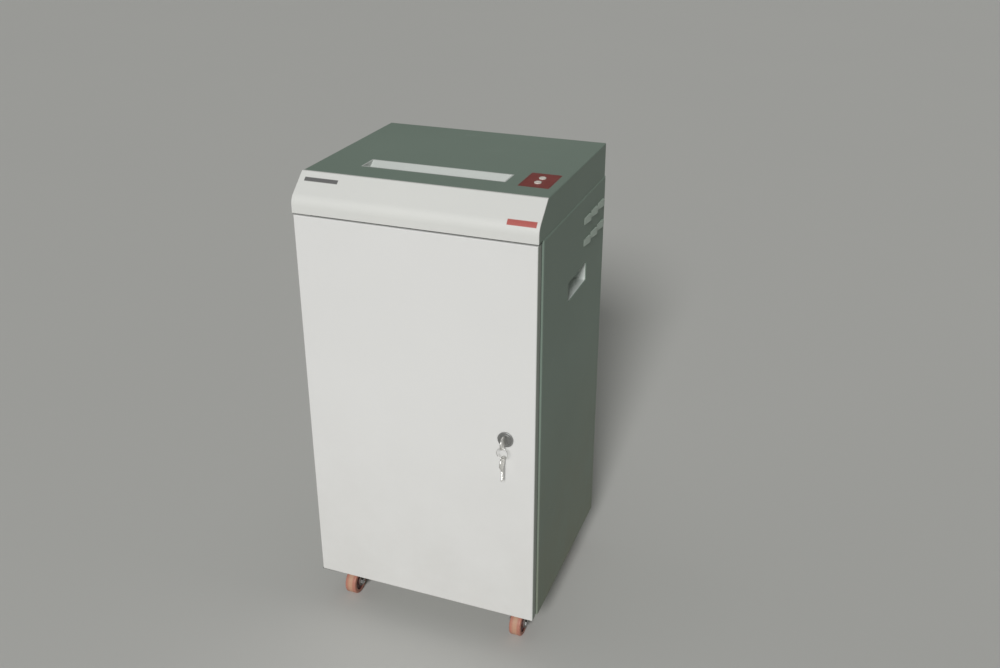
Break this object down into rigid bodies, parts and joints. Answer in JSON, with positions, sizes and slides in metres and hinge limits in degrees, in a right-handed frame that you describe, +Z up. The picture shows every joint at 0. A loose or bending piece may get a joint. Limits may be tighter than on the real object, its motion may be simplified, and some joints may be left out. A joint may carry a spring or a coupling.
{
  "type": "cabinet paper shredder",
  "caption": "Floor-standing cabinet paper shredder on swivel castors, with a lockable front door, sloped head with a wide paper slot, push buttons and recessed side handles.",
  "frame": {"origin": "on the floor, under the middle of the overall footprint with the key counted in", "axes": "+Z up, +X to the right seen from the front, the door faces -Y"},
  "size_m": [0.438, 0.4035, 0.8596],
  "materials": {
    "door_paint": "off-white powder coat, fine texture",
    "fascia_paint": "off-white powder coat, fine texture",
    "liner_paint": "off-white powder coat",
    "body_paint": "grey-green powder coat, fine texture",
    "zinc_steel": "bright zinc plate",
    "fork_steel": "dark stoved enamel on pressed steel",
    "throat_plastic": "moulded plastic",
    "cup_plastic": "moulded plastic",
    "bin_plastic": "moulded plastic",
    "dark_plastic": "moulded plastic",
    "plate_red": "printed film on a plastic plate",
    "button_white": "moulded plastic",
    "cutter_steel": "ground steel",
    "comb_steel": "folded sheet steel",
    "bearing_bronze": "sintered bronze",
    "motor_paint": "baked enamel",
    "board_green": "solder mask",
    "capacitor_can": "drawn can",
    "lock_chrome": "dark polished die casting",
    "key_nickel": "nickel plate",
    "magnet": "ferrite",
    "wheel_tyre": "terracotta polyurethane"
  },
  "bodies": {
    "cabinet": {"base_pan": "body_paint", "cabinet_hinges": "zinc_steel", "castor_plates": "zinc_steel", "castor_screws": "zinc_steel", "control_board": "board_green", "control_plate": "plate_red", "door_switch": "dark_plastic", "drop_chute": "zinc_steel", "fascia_panel": "fascia_paint", "frame_plates": "cutter_steel", "front_stripper_comb": "comb_steel", "head_cover": "body_paint", "left_handle_cup": "cup_plastic", "left_side_panel": "body_paint", "machine_shelf": "zinc_steel", "mechanism_cover": "liner_paint", "motor_bracket": "zinc_steel", "motor_housing": "motor_paint", "paper_guides": "dark_plastic", "power_board": "board_green", "power_inlet": "dark_plastic", "rear_panel": "body_paint", "rear_stripper_comb": "comb_steel", "right_handle_cup": "cup_plastic", "right_side_panel": "body_paint", "run_capacitor": "capacitor_can", "shaft_bearings": "bearing_bronze", "throat_insert": "throat_plastic", "tie_rods": "cutter_steel", "vent_inserts": "cup_plastic", "waste_bin": "bin_plastic"},
    "door": {"door_panel": "door_paint", "door_liner": "liner_paint", "door_magnet": "magnet", "hinge_bushes": "dark_plastic", "lock_barrel": "lock_chrome"},
    "lock": {"lock_plug": "lock_chrome", "lock_cam": "lock_chrome", "key": "key_nickel"},
    "key_ring": {"key_ring": "key_nickel"},
    "spare_key": {"spare_key": "key_nickel"},
    "forward_button": {"forward_button": "button_white"},
    "reverse_button": {"reverse_button": "button_white"},
    "front_cutter": {"front_cutter_shaft": "cutter_steel", "front_cutter_discs": "cutter_steel", "front_sync_gear": "cutter_steel"},
    "rear_cutter": {"rear_cutter_shaft": "cutter_steel", "rear_cutter_discs": "cutter_steel", "rear_sync_gear": "cutter_steel", "drive_gear": "cutter_steel"},
    "idler": {"idler_gear": "cutter_steel"},
    "motor_rotor": {"motor_rotor": "cutter_steel"},
    "front_left_fork": {"front_left_castor_fork": "fork_steel"},
    "front_left_wheel": {"front_left_castor_wheel": "wheel_tyre"},
    "front_right_fork": {"front_right_castor_fork": "fork_steel"},
    "front_right_wheel": {"front_right_castor_wheel": "wheel_tyre"},
    "rear_left_fork": {"rear_left_castor_fork": "fork_steel"},
    "rear_left_wheel": {"rear_left_castor_wheel": "wheel_tyre"},
    "rear_right_fork": {"rear_right_castor_fork": "fork_steel"},
    "rear_right_wheel": {"rear_right_castor_wheel": "wheel_tyre"}
  },
  "joints": [
    {"name": "door_hinge", "type": "hinge", "parent": "cabinet", "child": "door", "pos_m": [-0.204, -0.1655, 0.4455], "axis": [0, 0, -1], "range_deg": [0, 105]},
    {"name": "lock_turn", "type": "hinge", "parent": "door", "child": "lock", "pos_m": [0.1609, -0.1745, 0.4455], "axis": [0, 1, 0], "range_deg": [0, 90]},
    {"name": "key_ring_swing", "type": "hinge", "parent": "lock", "child": "key_ring", "pos_m": [0.1609, -0.1915, 0.4388], "axis": [-1, 0, 0], "range_deg": [-4, 45]},
    {"name": "spare_key_swing", "type": "hinge", "parent": "key_ring", "child": "spare_key", "pos_m": [0.1609, -0.1915, 0.4162], "axis": [-1, 0, 0], "range_deg": [-4, 45]},
    {"name": "forward_press", "type": "slide", "parent": "cabinet", "child": "forward_button", "axis": [0, 0, -1], "range_m": [0, 0.0012], "stiffness_N_per_m": 400},
    {"name": "reverse_press", "type": "slide", "parent": "cabinet", "child": "reverse_button", "axis": [0, 0, -1], "range_m": [0, 0.0012], "stiffness_N_per_m": 400},
    {"name": "rear_cutter_spin", "type": "hinge", "parent": "cabinet", "child": "rear_cutter", "pos_m": [0, -0.049, 0.716], "axis": [1, 0, 0], "continuous": true},
    {"name": "front_cutter_spin", "type": "hinge", "parent": "cabinet", "child": "front_cutter", "pos_m": [0, -0.089, 0.716], "axis": [1, 0, 0], "continuous": true},
    {"name": "idler_spin", "type": "hinge", "parent": "cabinet", "child": "idler", "pos_m": [0, 0.03257, 0.67796], "axis": [1, 0, 0], "continuous": true},
    {"name": "motor_spin", "type": "hinge", "parent": "cabinet", "child": "motor_rotor", "pos_m": [0, 0.07757, 0.67796], "axis": [1, 0, 0], "continuous": true},
    {"name": "front_left_swivel", "type": "hinge", "parent": "cabinet", "child": "front_left_fork", "pos_m": [-0.17, -0.1035, 0.076], "axis": [0, 0, 1], "continuous": true},
    {"name": "front_left_roll", "type": "hinge", "parent": "front_left_fork", "child": "front_left_wheel", "pos_m": [-0.17, -0.1265, 0.025], "axis": [1, 0, 0], "continuous": true},
    {"name": "front_right_swivel", "type": "hinge", "parent": "cabinet", "child": "front_right_fork", "pos_m": [0.17, -0.1035, 0.076], "axis": [0, 0, 1], "continuous": true},
    {"name": "front_right_roll", "type": "hinge", "parent": "front_right_fork", "child": "front_right_wheel", "pos_m": [0.17, -0.1265, 0.025], "axis": [1, 0, 0], "continuous": true},
    {"name": "rear_left_swivel", "type": "hinge", "parent": "cabinet", "child": "rear_left_fork", "pos_m": [-0.17, 0.1505, 0.076], "axis": [0, 0, 1], "continuous": true},
    {"name": "rear_left_roll", "type": "hinge", "parent": "rear_left_fork", "child": "rear_left_wheel", "pos_m": [-0.17, 0.1275, 0.025], "axis": [1, 0, 0], "continuous": true},
    {"name": "rear_right_swivel", "type": "hinge", "parent": "cabinet", "child": "rear_right_fork", "pos_m": [0.17, 0.1505, 0.076], "axis": [0, 0, 1], "continuous": true},
    {"name": "rear_right_roll", "type": "hinge", "parent": "rear_right_fork", "child": "rear_right_wheel", "pos_m": [0.17, 0.1275, 0.025], "axis": [1, 0, 0], "continuous": true}
  ],
  "couplings": [
    {"joint": "front_cutter_spin", "follows": "rear_cutter_spin", "ratio": -1},
    {"joint": "idler_spin", "follows": "rear_cutter_spin", "ratio": -2},
    {"joint": "motor_spin", "follows": "rear_cutter_spin", "ratio": 4}
  ]
}
